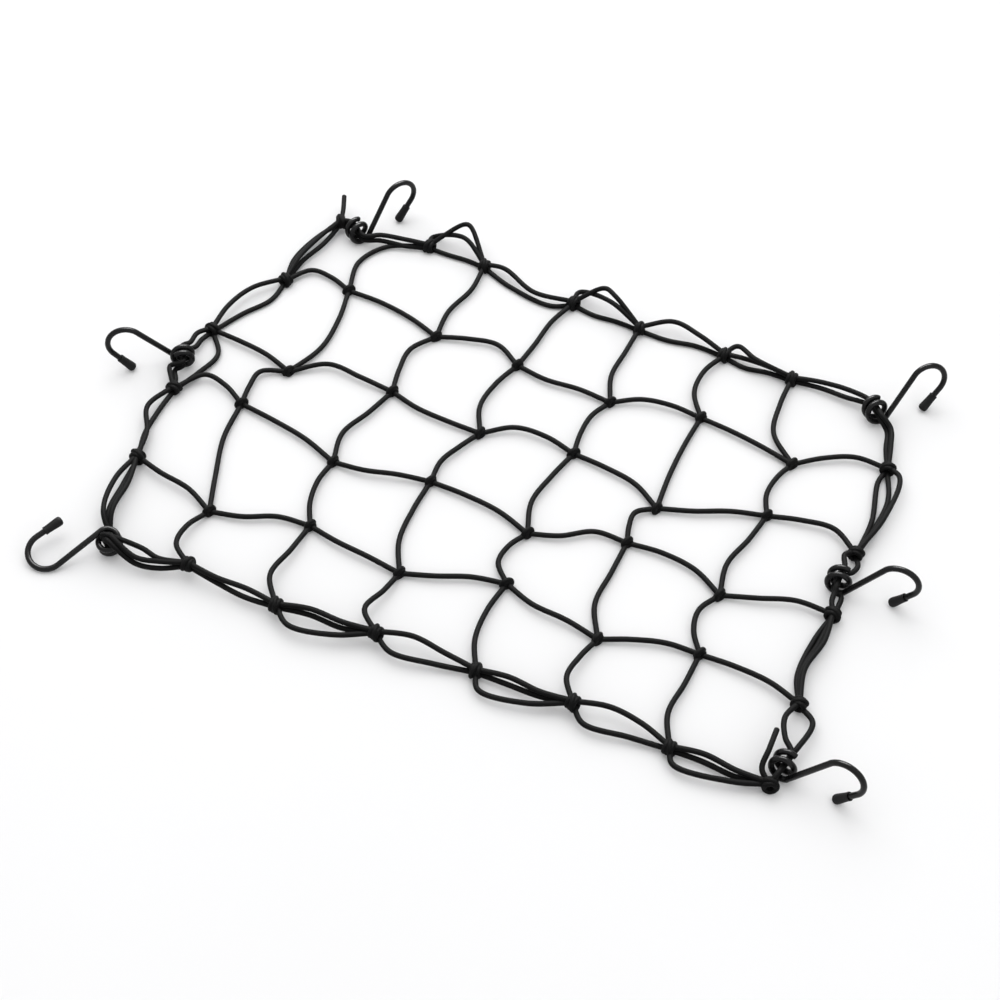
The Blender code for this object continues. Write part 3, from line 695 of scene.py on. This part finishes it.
def hitch_route(wraps, pitch, reach, proud, lean):
    """Middle line of a hitch about X: wraps side by side, then one pass back over them.

    It starts and ends underneath. reach is the radius of the wraps, proud how far the pass back stands
    out over them on top, and lean is +1 or -1 for the hand of the hitch.
    """
    half = (wraps - 1) / 2 * pitch
    steps = wraps * WRAP_STEPS
    route = []
    for step in range(steps + 1):
        part = step / steps
        tucked = TUCK * max(0.0, 1 - part * wraps / TUCK_TURN)
        route.append((half * (2 * part - 1), part * wraps * TURN, reach - tucked))
    for step in range(1, WRAP_STEPS + 1):
        part = step / WRAP_STEPS
        over = proud * math.sin(math.pi * part) ** SWELL
        tucked = TUCK * max(0.0, 1 - (1 - part) / TUCK_TURN)
        route.append((half * (1 - 2 * part), (wraps + part) * TURN, reach + over - tucked))
    return [Vector((along * lean, -math.sin(angle) * radius, -math.cos(angle) * radius))
            for along, angle, radius in route]


# wraps is their number and pitch the step from one to the next; reach and proud are as in hitch_route.
KnotForm = namedtuple("KnotForm", "wraps pitch reach proud")
INNER_FORM = KnotForm(2, 2.9, 2.55, 1.2)
BORDER_FORM = KnotForm(3, 2.8, 3.4, 1.0)


def knot_mesh(knots, form, cord):
    """All the knots of one kind as one mesh of wrapped cord."""
    shape = bmesh.new()
    thick = cord.wrap_diameter / MM
    for number, knot in enumerate(knots):
        lean = 1 if number % 3 else -1      # one knot in three is tied the other way round
        uneven = 1 + UNEVEN * math.sin(UNEVEN_STEP * number)
        line = hitch_route(form.wraps, form.pitch * uneven, form.reach / uneven, form.proud, lean)
        placing = (Matrix.Translation((knot.x, knot.y, knot.z))
                   @ Matrix.Rotation(math.radians(knot.turn), 4, "Z"))
        placed = on_floor([placing @ point for point in line], thick / 2)
        route = evenly(smooth_curve(placed, SMOOTH_STEPS), 0.5 * cord.step / MM)
        add_tube(shape, route, cord.wrap_diameter, cord.resolution)
    return shape


# ================================================================ operators
class CARGO_OT_inner_cords(bpy.types.Operator):
    """Lay the inner cords from side to side and from far to near"""
    bl_idname = "cargo.inner_cords"
    bl_label = "Inner cords"

    def execute(self, context):
        cord = context.scene.cargo_cord
        shape = bmesh.new()
        for entry in INNER_CORDS:
            route = on_floor(inner_route(entry), cord.diameter / MM / 2)
            add_tube(shape, evenly(route, cord.step / MM), cord.diameter, cord.resolution)
        material = material_named("Braided cord", cord_material, cord)
        finished("inner_cords", shape, material, "cord", "net")
        return {"FINISHED"}


class CARGO_OT_border_cords(bpy.types.Operator):
    """Lay the doubled border cords, the cords through the rings and the two free ends"""
    bl_idname = "cargo.border_cords"
    bl_label = "Border cords"
    CORE_RADIUS = 0.42      # as a part of the cord's diameter
    CORE_SIDES = 20
    # Distance past the cut in millimetres, and radius as a part of the core's.
    CORE_OUTLINE = ((-1.0, 1.0), (0.35, 1.0), (0.65, 0.85), (0.80, 0.45))

    def execute(self, context):
        cord = context.scene.cargo_cord
        material = material_named("Braided cord", cord_material, cord)
        border = [smooth_curve(span_points(knot_place(span.start), knot_place(span.end), span))
                  for span in BORDER_SPANS]
        ends = [free_end_route(tie, steps) for tie, steps in FREE_ENDS]
        rings = [route for hook in HOOKS for route in ring_routes(hook)]
        for name, routes in (("border_cords", border), ("ring_cords", rings), ("free_ends", ends)):
            shape = bmesh.new()
            for route in routes:
                laid = evenly(on_floor(route, cord.diameter / MM / 2), cord.step / MM)
                add_tube(shape, laid, cord.diameter, cord.resolution)
            finished(name, shape, material, "cord", "net")
        self.add_cores(cord, ends)
        return {"FINISHED"}

    def add_cores(self, cord, ends):
        """Add the pale core that shows where each free end is cut."""
        material = material_named("Cut rubber core", core_material, cord)
        radius = self.CORE_RADIUS * cord.diameter / MM
        profile = [(along, part * radius) for along, part in self.CORE_OUTLINE]
        for number, route in enumerate(ends, 1):
            outward = (route[-1] - route[-2]).normalized()
            turning = outward.to_track_quat("X", "Z").to_matrix().to_4x4()
            shape = bmesh.new()
            turned(shape, profile, self.CORE_SIDES, Matrix.Translation(in_model(route[-1])) @ turning)
            finished(f"cut_core_{number}", shape, material, "cord", "net")


class CARGO_OT_knots(bpy.types.Operator):
    """Wrap the inner knots and the larger border knots"""
    bl_idname = "cargo.knots"
    bl_label = "Knots"

    def execute(self, context):
        cord = context.scene.cargo_cord
        material = material_named("Braided cord", cord_material, cord)
        for name, knots, form in (("inner_knots", INNER_KNOTS, INNER_FORM),
                                  ("border_knots", BORDER_KNOTS, BORDER_FORM)):
            finished(name, knot_mesh(knots, form, cord), material, "cord", "net")
        return {"FINISHED"}


class CARGO_OT_hooks(bpy.types.Operator):
    """Bend the six coated wire hooks"""
    bl_idname = "cargo.hooks"
    bl_label = "Hooks"
    RESOLUTION = 6              # bevel resolution of the wire: 6 makes 16 sides
    RING_STEPS = 48             # steps in one turn of the ring
    BEND_STEPS = 40             # steps in the half turn of the bend

    def execute(self, context):
        settings = context.scene.cargo_hook
        material = material_named("Coated wire", coat_material, settings)
        for hook in HOOKS:
            shape = bmesh.new()
            add_tube(shape, self.wire_route(hook, settings), settings.wire, self.RESOLUTION)
            finished("wire_" + hook.name, shape, material, "coated_wire", "hook_" + hook.name,
                     sharp=70)
        return {"FINISHED"}

    def wire_route(self, hook, settings):
        """Ring, shank, bend and leg in the hook's own plane, placed by its axes."""
        shank, across, axis = hook_axes(hook)
        ring, bend = settings.ring_radius / MM, settings.bend_radius / MM
        half_width = settings.ring_turns / 2 * settings.ring_pitch / MM
        flat = []
        ring_steps = round(settings.ring_turns * self.RING_STEPS)
        for step in range(ring_steps + 1):
            part = step / ring_steps
            angle = (part - 1) * settings.ring_turns * TURN
            flat.append((ring * math.sin(angle), ring * math.cos(angle), half_width * (1 - 2 * part)))
        reach = settings.shank / MM
        for step in range(self.BEND_STEPS + 1):
            angle = math.pi * step / self.BEND_STEPS
            flat.append((reach + bend * math.sin(angle), ring + bend * (1 - math.cos(angle)), 0.0))
        flat.append((reach - settings.leg / MM, ring + 2 * bend, 0.0))
        middle = Vector((hook.x, hook.y, hook.z))
        return [middle + shank * u + across * v + axis * w for u, v, w in flat]


class CARGO_OT_covers(bpy.types.Operator):
    """Turn the six soft covers on the ends of the hooks"""
    bl_idname = "cargo.covers"
    bl_label = "Covers"
    # Distance from the mouth and radius, in millimetres: a thin lip, a slow flare, a full round tip.
    OUTSIDE = ((0.0, 2.55), (0.12, 2.70), (0.6, 2.78), (1.2, 2.66), (3.0, 2.68), (6.0, 2.84),
               (8.6, 3.04), (10.6, 3.14), (11.6, 3.02), (12.3, 2.62), (12.8, 1.80), (13.0, 0.8))
    SIDES = 32
    GAP = 0.3               # between the wire and the bore, around the wire and past its end
    CHAMFER = 0.15          # at the mouth of the bore

    def execute(self, context):
        settings = context.scene.cargo_hook
        material = material_named("Soft cover", cover_material, settings)
        for hook in HOOKS:
            shape = bmesh.new()
            self.turn_cover(shape, hook, settings)
            cover = finished("cover_" + hook.name, shape, material, "soft_cover", "tip_" + hook.name,
                             sharp=60)
            rounding = cover.modifiers.new("Rounding", "SUBSURF")
            rounding.levels = rounding.render_levels = 1
        return {"FINISHED"}

    def turn_cover(self, shape, hook, settings):
        """One cover with its blind bore, placed on the hook's leg."""
        shank, across, axis = hook_axes(hook)
        bore, depth = settings.wire / MM / 2 + self.GAP, settings.cover_bore / MM
        mouth_at = (settings.shank - settings.leg) / MM + depth - self.GAP
        mouth = Vector((hook.x, hook.y, hook.z)) + shank * mouth_at
        mouth += across * (settings.ring_radius + 2 * settings.bend_radius) / MM
        turning = Matrix((-shank, across, -axis)).transposed().to_4x4()
        profile = ((depth, bore), (self.CHAMFER, bore), (0.0, bore + self.CHAMFER), *self.OUTSIDE)
        turned(shape, profile, self.SIDES, Matrix.Translation(in_model(mouth)) @ turning)


class CARGO_OT_stage(bpy.types.Operator):
    """Set the floor, the soft light and the camera"""
    bl_idname = "cargo.stage"
    bl_label = "Stage"
    FLOOR_SIDE = 9.0        # metres
    # Name, place and sides in metres. Each light faces the origin, and the last one only adds gloss.
    LIGHTS = (("key", (-0.55, 0.75, 1.5), (2.2, 2.2)), ("fill", (1.4, -0.6, 1.3), (1.8, 1.8)),
              ("gloss", (-0.3, 1.0, 1.4), (1.5, 0.7)))
    FILL_SHARE = 0.25       # of the key light's power
    CAMERA_PLACE = (336.9, -785.0, 969.9)   # millimetres from the grid's middle
    CAMERA_TURN = (40.6, 0.0, 23.6)         # degrees
    SENSOR_WIDTH = 36.0     # millimetres
    CLIP = (0.05, 50.0)     # metres

    def execute(self, context):
        stage = context.scene.cargo_stage
        self.add_floor(stage)
        self.add_lights(context, stage)
        self.add_camera(context, stage)
        return {"FINISHED"}

    def add_floor(self, stage):
        """The floor that the net lies on."""
        shape = bmesh.new()
        bmesh.ops.create_grid(shape, x_segments=1, y_segments=1, size=self.FLOOR_SIDE / 2)
        mesh = bpy.data.meshes.new("floor")
        shape.to_mesh(mesh)
        shape.free()
        mesh.materials.append(floor_material(stage))
        floor = bpy.data.objects.new("floor", mesh)
        bpy.context.scene.collection.objects.link(floor)

    def add_lights(self, context, stage):
        """Two soft lights, one that only adds gloss to the wires, and even light all around."""
        powers = {"key": stage.key_power, "fill": stage.key_power * self.FILL_SHARE,
                  "gloss": stage.gloss_power}
        for name, place, sides in self.LIGHTS:
            lamp = bpy.data.lights.new(name, "AREA")
            lamp.shape = "RECTANGLE"
            lamp.size, lamp.size_y = sides
            lamp.energy = powers[name]
            light = bpy.data.objects.new(name, lamp)
            light.location = place
            light.rotation_euler = Vector(place).to_track_quat("Z", "Y").to_euler()
            light.visible_diffuse = name != "gloss"
            context.scene.collection.objects.link(light)
        world = bpy.data.worlds.new("surround")
        world.use_nodes = True
        sky = world.node_tree.nodes["Background"]
        set_values(sky, {"Color": (1.0, 1.0, 1.0, 1.0), "Strength": stage.sky})
        context.scene.world = world
        context.scene.view_settings.view_transform = "Standard"

    def add_camera(self, context, stage):
        """The camera at the photograph's angle."""
        lens = bpy.data.cameras.new("camera")
        lens.lens = stage.lens
        lens.sensor_width = self.SENSOR_WIDTH
        lens.clip_start, lens.clip_end = self.CLIP
        camera = bpy.data.objects.new("camera", lens)
        camera.location = in_model(self.CAMERA_PLACE)
        camera.rotation_euler = tuple(math.radians(angle) for angle in self.CAMERA_TURN)
        context.scene.collection.objects.link(camera)
        context.scene.camera = camera


class CARGO_PT_panel(bpy.types.Panel):
    """Sizes, colours and pieces of the cargo net"""
    bl_idname = "CARGO_PT_panel"
    bl_label = "Cargo net"
    bl_space_type = "VIEW_3D"
    bl_region_type = "UI"
    bl_category = "Cargo net"

    def draw(self, context):
        for title, group in (("Cord", context.scene.cargo_cord), ("Hooks", context.scene.cargo_hook),
                             ("Stage", context.scene.cargo_stage)):
            box = self.layout.box()
            box.label(text=title)
            for key in group.__annotations__:
                box.prop(group, key)
        for operator in OPERATORS:
            self.layout.operator(operator.bl_idname)


OPERATORS = (CARGO_OT_inner_cords, CARGO_OT_border_cords, CARGO_OT_knots, CARGO_OT_hooks,
             CARGO_OT_covers, CARGO_OT_stage)
SETTINGS = (("cargo_cord", CordSettings), ("cargo_hook", HookSettings), ("cargo_stage", StageSettings))


def register():
    """Register the settings, the operators and the panel."""
    for name, group in SETTINGS:
        bpy.utils.register_class(group)
        setattr(bpy.types.Scene, name, PointerProperty(type=group))
    for entry in (*OPERATORS, CARGO_PT_panel):
        bpy.utils.register_class(entry)


def unregister():
    """Take everything back out."""
    for entry in (CARGO_PT_panel, *OPERATORS):
        bpy.utils.unregister_class(entry)
    for name, group in SETTINGS:
        delattr(bpy.types.Scene, name)
        bpy.utils.unregister_class(group)


def main():
    """Dress the model."""
    register()
    bpy.ops.cargo.inner_cords()
    bpy.ops.cargo.border_cords()
    bpy.ops.cargo.knots()
    bpy.ops.cargo.hooks()
    bpy.ops.cargo.covers()
    bpy.ops.cargo.stage()


if __name__ == "__main__":
    main()
